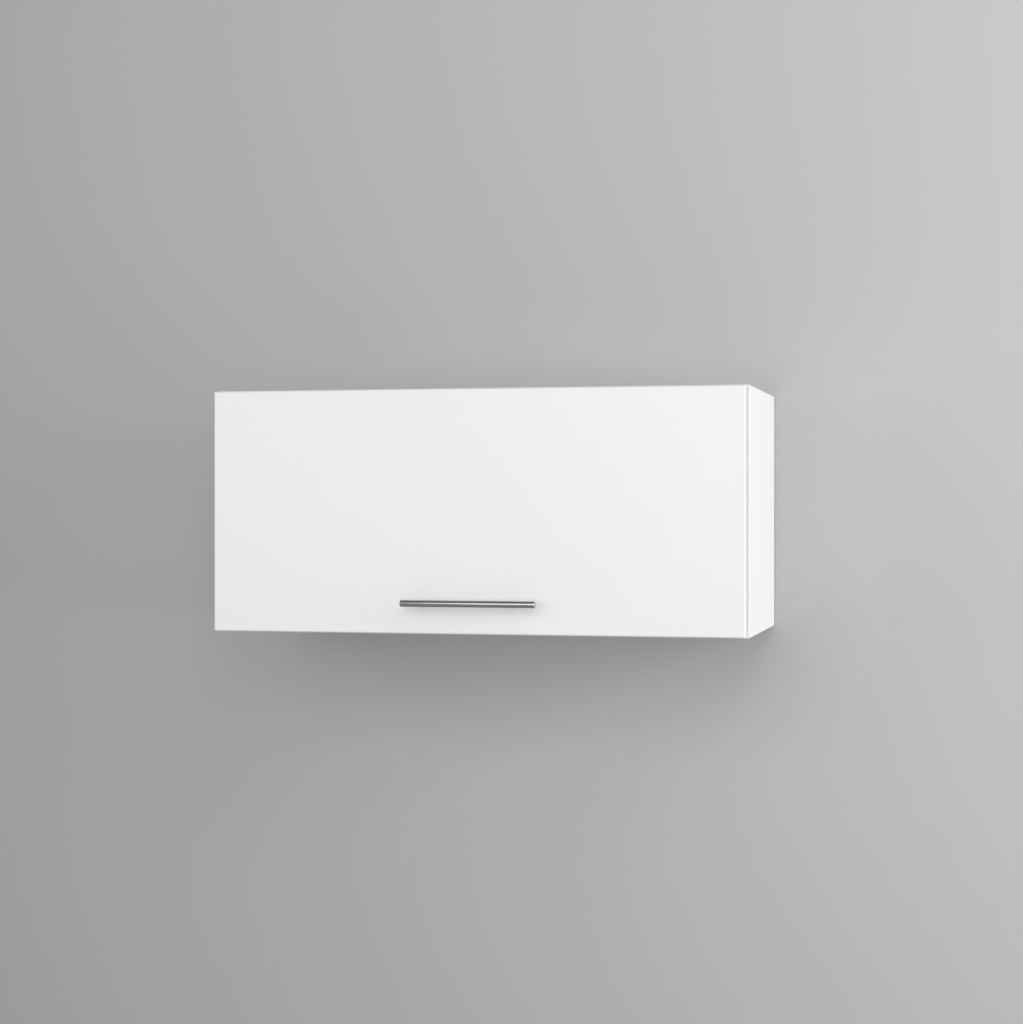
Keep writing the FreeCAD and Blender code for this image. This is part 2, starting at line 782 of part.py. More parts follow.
def bar(outer, thickness, start, end, barWidth, startEye, endEye):
    """A flat arm between two eyes; start and end are (y, z) places."""
    startPoint = vec(outer - thickness, start[0], start[1])
    endPoint = vec(outer - thickness, end[0], end[1])
    line = endPoint - startPoint
    across = vec(1, 0, 0).cross(line).normalize() * (barWidth / 2)
    corners = [startPoint + across, endPoint + across, endPoint - across, startPoint - across]
    depth = vec(thickness, 0, 0)
    web = Part.Face(Part.makePolygon(corners + corners[:1])).extrude(depth)
    eyes = [rod(startEye, startPoint, startPoint + depth), rod(endEye, endPoint, endPoint + depth)]
    return joined([web] + eyes)


def stayLever():
    arm = bar(leverOuter, leverThickness, (shaftY, shaftZ), (kneeY, kneeZ),
              leverWidth, camHubRadius, leverWidth / 2)
    shaftBore = crossBore(shaftRadius + runningClearance, leverInner, leverOuter, shaftY, shaftZ)
    kneeBore = crossBore(kneePinRadius + runningClearance, leverInner, leverOuter, kneeY, kneeZ)
    return without(arm, [shaftBore, kneeBore])


def stayLink():
    arm = bar(linkOuter, leverThickness, (kneeY, kneeZ), (pinY, pinZ),
              linkWidth, linkEyeRadius, linkEyeRadius)
    kneeBore = crossBore(kneePinRadius + runningClearance, linkInner, linkOuter, kneeY, kneeZ)
    pinBore = crossBore(bracketPinRadius + openPivotClearance, linkInner, linkOuter, pinY, pinZ)
    return without(arm, [kneeBore, pinBore])


def kneePin():
    seat = vec(linkInner, kneeY, kneeZ)
    shank = rod(kneePinRadius, seat, vec(leverOuter + kneeHeadLength, kneeY, kneeZ))
    head = rod(kneeHeadRadius, seat - vec(kneeHeadLength, 0, 0), seat)
    return joined([head, shank])


def guidePlaces():
    middle = (housingLow + housingHigh) / 2
    return [middle - guideSpacing / 2, middle + guideSpacing / 2]


def staySlide():
    x0 = housingInner + movingClearance
    x1 = sideInner - stayWall - movingClearance
    plate = block(x0, x1, slideFace, slideRear, housingLow + stayWall + movingClearance,
                  housingHigh - stayWall - movingClearance)
    guides = []
    for z in guidePlaces():
        root = vec(stayMid(), slideRear, z)
        guides.append(rod(guideRadius, root - vec(0, 1, 0), root + vec(0, guideLength, 0)))
    return joined([plate] + guides)


def staySpring(z):
    """A coil spring between the slide and the housing's rear wall, made along Z and laid down."""
    start = slideRear + seatClearance + springWire / 2
    length = housingRear - stayWall - seatClearance - springWire / 2 - start
    helix = Part.makeHelix(length / springTurns, length, springRadius)
    tangent = helix.Edges[0].tangentAt(helix.Edges[0].FirstParameter)
    profile = Part.Wire(Part.makeCircle(springWire / 2, vec(springRadius, 0, 0), tangent))
    spring = Part.Wire(helix.Edges).makePipeShell([profile], True, True)
    spring.rotate(vec(0, 0, 0), vec(1, 0, 0), -90)
    spring.translate(vec(stayMid(), start, z))
    return spring


def stayBracket():
    plate = roundedBlock(bracketLeft, bracketRight, flapBack, flapBack + bracketPlate,
                         pinZ - bracketHeight / 2, pinZ + bracketHeight / 2, "y", bracketCorner)
    ear = block(earInner, earInner + bracketEar, flapBack, pinY,
                pinZ - bracketEarRadius, pinZ + bracketEarRadius)
    tip = rod(bracketEarRadius, vec(earInner, pinY, pinZ), vec(earInner + bracketEar, pinY, pinZ))
    cutters = []
    for seat in bracketSeats():
        cutters.append(platePassage(woodScrewRadius, bracketPlate, seat, vec(0, -1, 0)))
    boreRadius = bracketPinRadius + runningClearance
    cutters.append(crossBore(boreRadius, earInner, earInner + bracketEar, pinY, pinZ))
    return without(joined([plate, ear, tip]), cutters)


def bracketPin():
    pin = rod(bracketPinRadius, vec(earInner - bracketPinRivet, pinY, pinZ),
              vec(linkOuter + bracketPinTail, pinY, pinZ))
    rivet = rod(bracketCollarRadius, vec(earInner - bracketPinRivet, pinY, pinZ),
                vec(earInner - seatClearance, pinY, pinZ))
    collar = rod(bracketCollarRadius, vec(earInner + bracketEar + seatClearance, pinY, pinZ),
                 vec(linkInner - movingClearance, pinY, pinZ))
    return joined([pin, rivet, collar])


# ---- hangers, made for the right-hand one ----
def hangerHousing():
    outer = block(hangerInner, sideInner, hangerFront, hangerRear, hangerLow, topUnder)
    outer = outer.makeFillet(hangerCorner, edgesAlong(outer, "y", [hangerInner], [hangerLow]))
    inner = block(hangerInner + hangerWall, sideInner - hangerWall,
                  hangerFront + hangerWall, hangerRear + 1,
                  hangerLow + hangerWall, topUnder - hangerWall)
    cutters = [inner]
    cutters += [platePassage(woodScrewRadius, hangerWall, seat, vec(1, 0, 0)) for seat in hangerSeats()]
    cutters += [rod(hangerAdjusterRadius + runningClearance, vec(hookCentre, hangerFront - 1, z),
                    vec(hookCentre, hangerFront + hangerWall + 1, z)) for z in hangerAdjusterPlaces()]
    return without(outer, cutters)


def hangerAdjusterPlaces():
    middle = (hangerLow + topUnder) / 2
    return [middle - hangerAdjusterRows / 2, middle + hangerAdjusterRows / 2]


def hangerAdjuster(z):
    return screw(hangerAdjusterRadius, hangerAdjusterLength, hangerAdjusterHeadRadius,
                 woodScrewHeadLength, vec(hookCentre, hangerFront, z), vec(0, 1, 0))


def hangerCover():
    front = hangerFront - woodScrewHeadLength - seatClearance
    plate = block(hangerInner, sideInner, front - hangerCoverThickness, hangerFront,
                  hangerLow, topUnder)
    plate = plate.makeFillet(hangerCorner, edgesAlong(plate, "y", [hangerInner], [hangerLow]))
    room = block(hangerInner + hangerWall, sideInner - hangerWall, front, hangerFront + 1,
                 hangerLow + hangerWall, topUnder - hangerWall)
    return plate.cut(room)


def hangerHook():
    middle = (hangerLow + topUnder) / 2
    x0 = hangerInner + hangerWall + movingClearance
    x1 = sideInner - hangerWall - movingClearance
    grip = block(x0, x1, hookBlockFront, hookBlockFront + hookBlockLength,
                 middle - hookBlockHeight / 2, middle + hookBlockHeight / 2)
    armX0 = hookCentre - hookThickness / 2
    armX1 = hookCentre + hookThickness / 2
    toothRear = -wallPlateThickness - movingClearance * 2
    arm = block(armX0, armX1, hookBlockFront + hookBlockLength - 1, toothRear,
                hookArmLow, hookArmLow + hookHeight)
    tooth = block(armX0, armX1, toothRear - hookToothLength, toothRear,
                  hookArmLow - hookToothDrop, hookArmLow + 1)
    return joined([grip, arm, tooth])


def wallPlate():
    lipTop = hookArmLow - movingClearance
    shelfTop = lipTop - wallPlateLipHeight + wallPlateThickness
    plateLow = shelfTop - wallPlateHeight
    x1 = sideInner - notchMargin
    x0 = x1 - wallPlateWidth
    plate = block(x0, x1, -wallPlateThickness, 0, plateLow, shelfTop)
    plate = plate.makeFillet(wallPlateCorner, edgesAlong(plate, "y", [x0, x1], [plateLow]))
    front = -wallPlateLip - wallPlateThickness
    shelf = block(x0, x1, front, 0, shelfTop - wallPlateThickness, shelfTop)
    lip = block(x0, x1, front, front + wallPlateThickness, shelfTop - wallPlateThickness, lipTop)
    lip = lip.makeFillet(wallPlateCorner, edgesAlong(lip, "y", [x0, x1], [lipTop]))
    middle = (x0 + x1) / 2
    z = plateLow + wallPlateHoleRise
    holes = []
    for x in (middle - wallPlateHoleSpacing / 2, middle + wallPlateHoleSpacing / 2):
        holes.append(rod(wallPlateHoleRadius, vec(x, -wallPlateThickness - 1, z), vec(x, 1, z)))
    return without(joined([plate, shelf, lip]), holes)


def build():
    outward = vec(1, 0, 0)
    forward = vec(0, -1, 0)
    upward = vec(0, 0, 1)
    lowLevel, highLevel = boardLevels()
    nodes = {}
    nodes["top_panel"] = [levelPanel(*highLevel)]
    nodes["bottom_panel"] = [levelPanel(*lowLevel)]
    nodes["back_panel"] = [backPanel()]
    nodes["carcass_edge_bands"] = carcassBands()
    nodes["wood_dowels"] = onBothSides(eachDowel(dowel))
    nodes["cam_bolts"] = onBothSides(eachCorner(camBolt, False))
    nodes["cam_locks"] = onBothSides(eachCorner(camLock, True))
    nodes["cam_caps"] = onBothSides(eachCorner(camCap, True))
    nodes["door_panel"] = [flapPanel()]
    nodes["door_edge_bands"] = flapBands()
    nodes["bumper_pads"] = bumperPads()
    nodes["handle_bar"] = [handleBar()]
    nodes["handle_posts"] = [handlePost(x) for x in handlePosts()]
    nodes["handle_screws"] = [handleScrew(x) for x in handlePosts()]
    nodes["hinge_pins"] = onBothSides([hingePin()])
    nodes["hinge_cup_screws"] = woodScrews(cupScrewLength, cupScrewSeats(), forward)
    nodes["hinge_plate_screws"] = woodScrews(plateScrewLength, hingePlateSeats(), upward)
    nodes["hinge_arm_screws"] = onBothSides([armScrew()])
    nodes["stay_screws"] = onBothSides(woodScrews(stayScrewLength, staySeats(), outward))
    nodes["stay_adjusters"] = onBothSides([stayAdjuster()])
    nodes["bracket_pins"] = onBothSides([bracketPin()])
    nodes["bracket_screws"] = onBothSides(woodScrews(bracketScrewLength, bracketSeats(), forward))
    nodes["hanger_screws"] = onBothSides(woodScrews(hangerScrewLength, hangerSeats(), outward))
    nodes["hanger_adjusters"] = onBothSides([hangerAdjuster(z) for z in hangerAdjusterPlaces()])
    makers = {
        "side": sidePanel,
        "hinge_cup": hingeCup,
        "hinge_arm": hingeArm,
        "hinge_plate": hingePlate,
        "stay_housing": stayHousing,
        "stay_cover": stayCover,
        "stay_shaft": stayShaft,
        "stay_cam": stayCam,
        "stay_lever": stayLever,
        "stay_link": stayLink,
        "stay_knee_pin": kneePin,
        "stay_slide": staySlide,
        "stay_bracket": stayBracket,
        "hanger_housing": hangerHousing,
        "hanger_cover": hangerCover,
        "hanger_hook": hangerHook,
        "wall_plate": wallPlate,
    }
    for name, maker in makers.items():
        shape = maker()
        for side in sides:
            nodes[name + "_" + side] = [onSide(shape, side)]
    springs = [staySpring(z) for z in guidePlaces()]
    for side in sides:
        nodes["stay_springs_" + side] = [onSide(spring, side) for spring in springs]
    return nodes


def write(nodes):
    os.makedirs("parts", exist_ok=True)
    for name, solids in nodes.items():
        shape = solids[0] if len(solids) == 1 else Part.makeCompound(solids)
        count = len(shape.Solids)
        if count != len(solids) or not shape.isValid():
            print("check", name, "solids", count, "of", len(solids), "valid", shape.isValid())
        shape.exportStep("parts/" + name + ".step")
    print("nodes", len(nodes), "solids", sum(len(solids) for solids in nodes.values()))


write(build())
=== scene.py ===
import bpy, bmesh, json, math
from mathutils import Matrix, Vector


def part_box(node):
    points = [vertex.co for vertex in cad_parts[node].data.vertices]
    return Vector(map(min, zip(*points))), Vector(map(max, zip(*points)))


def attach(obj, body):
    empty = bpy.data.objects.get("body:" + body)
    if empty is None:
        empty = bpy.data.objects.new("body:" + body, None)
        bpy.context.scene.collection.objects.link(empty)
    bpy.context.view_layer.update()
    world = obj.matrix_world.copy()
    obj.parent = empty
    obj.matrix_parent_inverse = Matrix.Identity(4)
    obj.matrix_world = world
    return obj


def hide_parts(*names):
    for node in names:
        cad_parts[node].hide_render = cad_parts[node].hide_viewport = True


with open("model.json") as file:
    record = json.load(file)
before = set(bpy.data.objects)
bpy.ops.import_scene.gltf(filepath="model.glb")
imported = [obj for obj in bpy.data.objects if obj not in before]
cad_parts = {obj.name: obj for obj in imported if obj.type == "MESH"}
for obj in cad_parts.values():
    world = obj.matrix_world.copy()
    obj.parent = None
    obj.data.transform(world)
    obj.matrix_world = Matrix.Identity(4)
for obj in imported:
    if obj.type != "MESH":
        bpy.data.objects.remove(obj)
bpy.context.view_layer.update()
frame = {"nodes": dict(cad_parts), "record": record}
nodes = frame["nodes"]
sides = ("left", "right")
print("cabinet loaded:", len(nodes), "nodes")


# node helpers: every finish is built from these
def newFinish(name):
    finish = bpy.data.materials.new(name)
    finish.use_nodes = True
    tree = finish.node_tree
    tree.nodes.clear()
    output = tree.nodes.new("ShaderNodeOutputMaterial")
    shader = tree.nodes.new("ShaderNodeBsdfPrincipled")
    tree.links.new(shader.outputs["BSDF"], output.inputs["Surface"])
    return finish, tree, shader


def place(tree, stretch=(1, 1, 1)):
    # object coordinates in metres, stretched where a grain runs along one axis
    where = tree.nodes.new("ShaderNodeTexCoord")
    mapping = tree.nodes.new("ShaderNodeMapping")
    mapping.inputs["Scale"].default_value = stretch
    tree.links.new(where.outputs["Object"], mapping.inputs["Vector"])
    return mapping.outputs["Vector"]


def noise(tree, where, scale, detail=3.0, roughness=0.5):
    texture = tree.nodes.new("ShaderNodeTexNoise")
    texture.inputs["Scale"].default_value = scale
    texture.inputs["Detail"].default_value = detail
    texture.inputs["Roughness"].default_value = roughness
    tree.links.new(where, texture.inputs["Vector"])
    return texture.outputs["Fac"]


def cells(tree, where, scale):
    texture = tree.nodes.new("ShaderNodeTexVoronoi")
    texture.inputs["Scale"].default_value = scale
    tree.links.new(where, texture.inputs["Vector"])
    return texture.outputs["Distance"]


def ramp(tree, value, first, last):
    # from one (place, level) pair to another
    node = tree.nodes.new("ShaderNodeMapRange")
    for socket, number in zip(("From Min", "To Min", "From Max", "To Max"), first + last):
        node.inputs[socket].default_value = number
    tree.links.new(value, node.inputs["Value"])
    return node.outputs["Result"]


def spread(tree, value, low, high):
    # a 0 to 1 value spread between two others
    return ramp(tree, value, (0, low), (1, high))


def step(tree, value, start, end):
    # 0 below start, 1 above end
    return ramp(tree, value, (start, 0), (end, 1))


def maths(tree, operation, first, second):
    node = tree.nodes.new("ShaderNodeMath")
    node.operation = operation
    for socket, value in zip(node.inputs, (first, second)):
        if isinstance(value, (int, float)):
            socket.default_value = value
        else:
            tree.links.new(value, socket)
    return node.outputs["Value"]


def blendColours(tree, factor, first, second):
    node = tree.nodes.new("ShaderNodeMix")
    node.data_type = "RGBA"
    tree.links.new(factor, node.inputs["Factor"])
    for socket, colour in zip((node.inputs[6], node.inputs[7]), (first, second)):
        if isinstance(colour, (tuple, list)):
            socket.default_value = (*colour, 1)
        else:
            tree.links.new(colour, socket)
    return node.outputs[2]


def relief(tree, shader, height, depth, strength=1.0):
    node = tree.nodes.new("ShaderNodeBump")
    node.inputs["Distance"].default_value = depth
    node.inputs["Strength"].default_value = strength
    tree.links.new(height, node.inputs["Height"])
    tree.links.new(node.outputs["Normal"], shader.inputs["Normal"])


def shade(colour, amount):
    return tuple(channel * amount for channel in colour)


def tint(tree, shader, factor, first, second):
    tree.links.new(blendColours(tree, factor, first, second), shader.inputs["Base Color"])


def polish(tree, shader, value, gloss):
    # gloss holds the lowest and the highest roughness
    tree.links.new(spread(tree, value, *gloss), shader.inputs["Roughness"])


def component(tree, where, axis):
    split = tree.nodes.new("ShaderNodeSeparateXYZ")
    tree.links.new(where, split.inputs["Vector"])
    return split.outputs[axis]


# in the settings below a noise is its scale, detail and roughness, a depth is in metres,
# and drift is the darkest share of a colour

# the flap's front: sprayed white lacquer, with a very shallow orange peel
lacquer = {"colour": (0.835, 0.835, 0.835), "drift": 0.988, "clouds": (5.0, 4.0), "specular": 0.42,
           "gloss": (0.30, 0.39), "glossNoise": (22.0, 5.0), "peel": (260, 1.5), "peelDepth": 0.00003}


def lacqueredWhite():
    finish, tree, shader = newFinish("whiteLacquer")
    where = place(tree)
    clouds = noise(tree, where, *lacquer["clouds"])
    tint(tree, shader, clouds, shade(lacquer["colour"], lacquer["drift"]), lacquer["colour"])
    polish(tree, shader, noise(tree, where, *lacquer["glossNoise"]), lacquer["gloss"])
    shader.inputs["Specular IOR Level"].default_value = lacquer["specular"]
    relief(tree, shader, noise(tree, where, *lacquer["peel"]), lacquer["peelDepth"])
    return finish


# carcass boards: melamine facing with a pearl grain, raw chipboard on their rear edges
board = {"colour": (0.84, 0.84, 0.84), "drift": 0.985, "clouds": (9.0, 4.0), "specular": 0.03,
         "gloss": (0.48, 0.57), "glossNoise": (30.0, 4.0), "pearl": (1100, 2.0), "dimples": 700.0,
         "dimpleShare": 0.6, "grainDepth": 0.00004}
chipboard = {"light": (0.62, 0.47, 0.30), "dark": (0.33, 0.22, 0.12), "behind": -0.0006, "fade": 0.0001,
             "flakes": 420.0, "crumbs": (190.0, 6.0, 0.7), "levels": (0.05, 0.42), "rougher": 0.4}


def rawChipboard(tree, where):
    flakes = cells(tree, where, chipboard["flakes"])
    mixed = maths(tree, "MULTIPLY", flakes, noise(tree, where, *chipboard["crumbs"]))
    return blendColours(tree, step(tree, mixed, *chipboard["levels"]), chipboard["dark"], chipboard["light"])


def melamineBoard():
    finish, tree, shader = newFinish("whiteMelamine")
    where = place(tree)
    clouds = noise(tree, where, *board["clouds"])
    face = blendColours(tree, clouds, shade(board["colour"], board["drift"]), board["colour"])
    behind = chipboard["behind"]
    isRaw = step(tree, component(tree, where, "Y"), behind, behind + chipboard["fade"])
    tint(tree, shader, isRaw, face, rawChipboard(tree, where))
    gloss = spread(tree, noise(tree, where, *board["glossNoise"]), *board["gloss"])
    rougher = maths(tree, "MULTIPLY", isRaw, chipboard["rougher"])
    tree.links.new(maths(tree, "ADD", gloss, rougher), shader.inputs["Roughness"])
    shader.inputs["Specular IOR Level"].default_value = board["specular"]
    dimples = maths(tree, "MULTIPLY", cells(tree, where, board["dimples"]), board["dimpleShare"])
    grain = maths(tree, "ADD", noise(tree, where, *board["pearl"]), dimples)
    relief(tree, shader, grain, board["grainDepth"])
    return finish


# plastic edge banding: smoother than the boards, with faint lines along its length
banding = {"colour": (0.82, 0.82, 0.82), "drift": 0.988, "clouds": (16.0, 3.0), "specular": 0.06,
           "gloss": (0.31, 0.44), "streaks": (1.0, 3.0), "stretch": (3, 900, 3), "streakDepth": 0.00002}


def edgeBanding():
    finish, tree, shader = newFinish("whiteEdgeBand")
    streaks = noise(tree, place(tree, banding["stretch"]), *banding["streaks"])
    clouds = noise(tree, place(tree), *banding["clouds"])
    tint(tree, shader, clouds, shade(banding["colour"], banding["drift"]), banding["colour"])
    polish(tree, shader, streaks, banding["gloss"])
    shader.inputs["Specular IOR Level"].default_value = banding["specular"]
    relief(tree, shader, streaks, banding["streakDepth"])
    return finish


# thin back board: white inside the cabinet, bare brown fibre board towards the wall
backBoard = {"white": (0.82, 0.82, 0.82), "drift": 0.98, "clouds": (8.0, 3.0), "fade": 0.0001,
             "brownLight": (0.40, 0.25, 0.14), "brownDark": (0.27, 0.16, 0.085), "levels": (0.12, 0.42),
             "fibres": (240.0, 8.0, 0.75), "patches": (14.0, 5.0), "gloss": (0.4, 0.82),
             "fuzz": (900.0, 4.0), "fuzzDepth": 0.00004}


def fibreBoard():
    finish, tree, shader = newFinish("fibreBackBoard")
    where = place(tree)
    low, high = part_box("back_panel")
    middle = (low.y + high.y) / 2
    isBrown = step(tree, component(tree, where, "Y"), middle, middle + backBoard["fade"])
    patches = noise(tree, where, *backBoard["patches"])
    fibres = step(tree, maths(tree, "MULTIPLY", noise(tree, where, *backBoard["fibres"]), patches),
                  *backBoard["levels"])
    brown = blendColours(tree, fibres, backBoard["brownDark"], backBoard["brownLight"])
    clouds = noise(tree, where, *backBoard["clouds"])
    white = blendColours(tree, clouds, shade(backBoard["white"], backBoard["drift"]), backBoard["white"])
    tint(tree, shader, isBrown, white, brown)
    polish(tree, shader, isBrown, backBoard["gloss"])
    relief(tree, shader, noise(tree, where, *backBoard["fuzz"]), backBoard["fuzzDepth"])
    return finish


# beech of the dowels, with its grain along them
beech = {"light": (0.66, 0.46, 0.28), "dark": (0.47, 0.29, 0.16), "stretch": (14, 260, 260),
         "grain": (4.0, 5.0, 0.65), "gloss": (0.55, 0.75), "grainDepth": 0.00005}


def beechWood():
    finish, tree, shader = newFinish("beechDowel")
    grain = noise(tree, place(tree, beech["stretch"]), *beech["grain"])
    tint(tree, shader, grain, beech["dark"], beech["light"])
    polish(tree, shader, grain, beech["gloss"])
    relief(tree, shader, grain, beech["grainDepth"])
    return finish


# metals: a colour, how rough, the direction that fine lines run in and how deep they are
metals = {
    "brushedHandleSteel": {"colour": (0.36, 0.358, 0.348), "roughness": 0.14, "swing": 0.05,
                           "stretch": (6, 1500, 1500), "depth": 0.00003, "mottle": 0.10},
    "nickelPressing": {"colour": (0.62, 0.605, 0.575), "roughness": 0.24, "swing": 0.05,
                       "stretch": (1100, 1100, 1100), "depth": 0.000006, "mottle": 0.05},
    "zincPlating": {"colour": (0.58, 0.60, 0.63), "roughness": 0.28, "swing": 0.08,
                    "stretch": (800, 800, 800), "depth": 0.000008, "mottle": 0.08},
    "zincCasting": {"colour": (0.42, 0.42, 0.43), "roughness": 0.48, "swing": 0.12,
                    "stretch": (700, 700, 700), "depth": 0.00002, "mottle": 0.12},
    "springWire": {"colour": (0.20, 0.20, 0.205), "roughness": 0.34, "swing": 0.10,
                   "stretch": (25, 25, 900), "depth": 0.00001, "mottle": 0.14},
}
metalGrain = {"lines": (1.0, 4.0, 0.6), "clouds": (60.0, 4.0), "strength": 0.6}


def metalFinish(name):
    look = metals[name]
    finish, tree, shader = newFinish(name)
    shader.inputs["Metallic"].default_value = 1.0
    lines = noise(tree, place(tree, look["stretch"]), *metalGrain["lines"])
    clouds = noise(tree, place(tree), *metalGrain["clouds"])
    dark, light = (shade(look["colour"], 1 + change) for change in (-look["mottle"], look["mottle"]))
    tint(tree, shader, maths(tree, "MULTIPLY", lines, clouds), dark, light)
    polish(tree, shader, lines, (look["roughness"] - look["swing"], look["roughness"] + look["swing"]))
    relief(tree, shader, lines, look["depth"], metalGrain["strength"])
    return finish


# moulded plastics: spark-eroded texture
plastics = {
    "greyMoulding": {"colour": (0.36, 0.37, 0.38), "gloss": (0.44, 0.56)},
    "whiteMoulding": {"colour": (0.80, 0.80, 0.785), "gloss": (0.36, 0.48)},
}
mouldGrain = {"spark": 1500.0, "sparkDepth": 0.00004, "clouds": (40.0, 4.0), "dark": 0.95, "light": 1.03}


def mouldedPlastic(name):
    look = plastics[name]
    finish, tree, shader = newFinish(name)
    where = place(tree)
    clouds = noise(tree, where, *mouldGrain["clouds"])
    dark, light = (shade(look["colour"], mouldGrain[end]) for end in ("dark", "light"))
    tint(tree, shader, clouds, dark, light)
    polish(tree, shader, clouds, look["gloss"])
    relief(tree, shader, cells(tree, where, mouldGrain["spark"]), mouldGrain["sparkDepth"])
    return finish


# soft clear pads that the flap closes on
bumper = {"dark": (0.70, 0.70, 0.68), "light": (0.78, 0.78, 0.76), "clouds": (300.0, 3.0), "roughness": 0.25,
          "glow": 0.35, "glowRadius": (0.002, 0.002, 0.002), "grain": (700.0, 3.0), "grainDepth": 0.00002}


def softBumper():
    finish, tree, shader = newFinish("softBumper")
    where = place(tree)
    tint(tree, shader, noise(tree, where, *bumper["clouds"]), bumper["dark"], bumper["light"])
    shader.inputs["Roughness"].default_value = bumper["roughness"]
    shader.inputs["Subsurface Weight"].default_value = bumper["glow"]
    shader.inputs["Subsurface Radius"].default_value = bumper["glowRadius"]
    relief(tree, shader, noise(tree, where, *bumper["grain"]), bumper["grainDepth"])
    return finish


finishes = {
    "white_board": melamineBoard(),
    "white_flap": lacqueredWhite(),
    "white_edge": edgeBanding(),
    "back_board": fibreBoard(),
    "beech": beechWood(),
    "handle_steel": metalFinish("brushedHandleSteel"),
    "nickel_steel": metalFinish("nickelPressing"),
    "zinc_steel": metalFinish("zincPlating"),
    "zinc_cast": metalFinish("zincCasting"),
    "spring_steel": metalFinish("springWire"),
    "grey_plastic": mouldedPlastic("greyMoulding"),
    "white_plastic": mouldedPlastic("whiteMoulding"),
    "clear_pad": softBumper(),
}
slotOf = {row["node"]: row["material_slot"] for row in frame["record"]["subparts"]}


def dress(thing, slot):
    thing.data.materials.clear()
    thing.data.materials.append(finishes[slot])


for name, node in nodes.items():
    dress(node, slotOf[name])
print("finishes on all nodes")

# how much sharp edges are eased, in metres, and the angles in degrees that say which edges are sharp
arris = {"side": 0.0004, "stayCover": 0.0002, "hangerCover": 0.0005, "pressing": 0.0002}
easing = {"weld": 0.000005, "flatUnder": 0.5, "sharpOver": 35, "segments": 2}


def ease(name, width):
    node = nodes[name]
    weld = node.modifiers.new("weld", "WELD")
    weld.merge_threshold = easing["weld"]
    join = node.modifiers.new("joinFlatFaces", "DECIMATE")
    join.decimate_type = "DISSOLVE"
    join.angle_limit = math.radians(easing["flatUnder"])
    bevel = node.modifiers.new("arris", "BEVEL")
    bevel.width = width
    bevel.segments = easing["segments"]
    bevel.limit_method = "ANGLE"
    bevel.angle_limit = math.radians(easing["sharpOver"])
    flat = node.modifiers.new("flatFaces", "WEIGHTED_NORMAL")
    flat.keep_sharp = True


pressings = ("wall_plate", "hinge_cup", "hinge_arm", "hinge_plate", "stay_housing", "stay_cam",
             "stay_bracket", "stay_lever", "stay_link", "stay_slide", "hanger_housing", "hanger_hook")
for side in sides:
    ease("side_" + side, arris["side"])
    ease("hanger_cover_" + side, arris["hangerCover"])
    ease("stay_cover_" + side, arris["stayCover"])
    for pressing in pressings:
        ease(pressing + "_" + side, arris["pressing"])
print("arrises eased")

bodyOf = {node: body for body, group in frame["record"]["behaviour"]["bodies"].items() for node in group}
forms = {"smoothUnder": math.radians(32), "touching": 0.000002, "endDepth": 0.0001, "segments": 24}


def meshFrom(form, name):
    mesh = bpy.data.meshes.new(name)
    form.to_mesh(mesh)
    form.free()
    return mesh


def addPiece(form, name, replaced, slot):
    # turns a form into a piece that stands for some nodes and rides on their body
    for face in form.faces:
        face.smooth = True
    for edge in form.edges:
        edge.smooth = edge.calc_face_angle(0) < forms["smoothUnder"]
    mesh = meshFrom(form, name)
    mesh.materials.append(finishes[slot])
    piece = bpy.data.objects.new(name, mesh)
    bpy.context.scene.collection.objects.link(piece)
    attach(piece, bodyOf[replaced[0]])
    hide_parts(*replaced)


def solidsOf(name):
    # the separate solids of a node, each as its points
    form = bmesh.new()
    form.from_mesh(nodes[name].data)
    bmesh.ops.remove_doubles(form, verts=form.verts, dist=forms["touching"])
    solids = []
    seen = set()
    for start in form.verts:
        if start in seen:
            continue
        seen.add(start)
        reach = [start]
        for corner in reach:
            for edge in corner.link_edges:
                other = edge.other_vert(corner)
                if other not in seen:
                    seen.add(other)
                    reach.append(other)
        solids.append([corner.co.copy() for corner in reach])
    form.free()
    return solids


def measured(points):
    # the two ends of a turned solid, on its long axis
    lows = [min(point[axis] for point in points) for axis in range(3)]
    highs = [max(point[axis] for point in points) for axis in range(3)]
    axis = max(range(3), key=lambda number: highs[number] - lows[number])
    first = Vector([(low + high) / 2 for low, high in zip(lows, highs)])
    last = first.copy()
    first[axis], last[axis] = lows[axis], highs[axis]
    return first, last


def ringRadius(points, end, other, depth):
    # the widest point within a depth of one end
    line = (other - end).normalized()
    widest = 0
    for point in points:
        along = (point - end).dot(line)
        if along < depth:
            widest = max(widest, (point - end - line * along).length)
    return widest


def standing(end, other, turn=0):
    # a matrix that stands a form on one end, with +Z towards the other
    spin = (other - end).to_track_quat("Z", "Y").to_matrix().to_4x4()
    return Matrix.Translation(end) @ spin @ Matrix.Rotation(turn, 4, "Z")


def turned(radius, angle, depth):
    return Vector((radius * math.cos(angle), radius * math.sin(angle), depth))


def lathe(form, profile, where, segments=forms["segments"], share=None):
    # turns (radius, depth) pairs round +Z; share gives a part of the radius at each angle
    rings = []
    for radius, depth in profile:
        ring = []
        for count in range(segments if radius > 0 else 1):
            angle = 2 * math.pi * count / segments
            reach = radius * (share(angle) if share else 1)
            ring.append(form.verts.new(where @ turned(reach, angle, depth)))
        rings.append(ring)
    for first, second in zip(rings, rings[1:]):
        for count in range(segments):
            after = count + 1
            corners = [first[count % len(first)], first[after % len(first)],
                       second[after % len(second)], second[count % len(second)]]
            form.faces.new(list(dict.fromkeys(corners)))


# how a thread's ridge is wound: points per turn, how deep it sits in the core, how far it runs past its end
winding = {"perTurn": 14, "sunk": 0.97, "past": 0.0002}


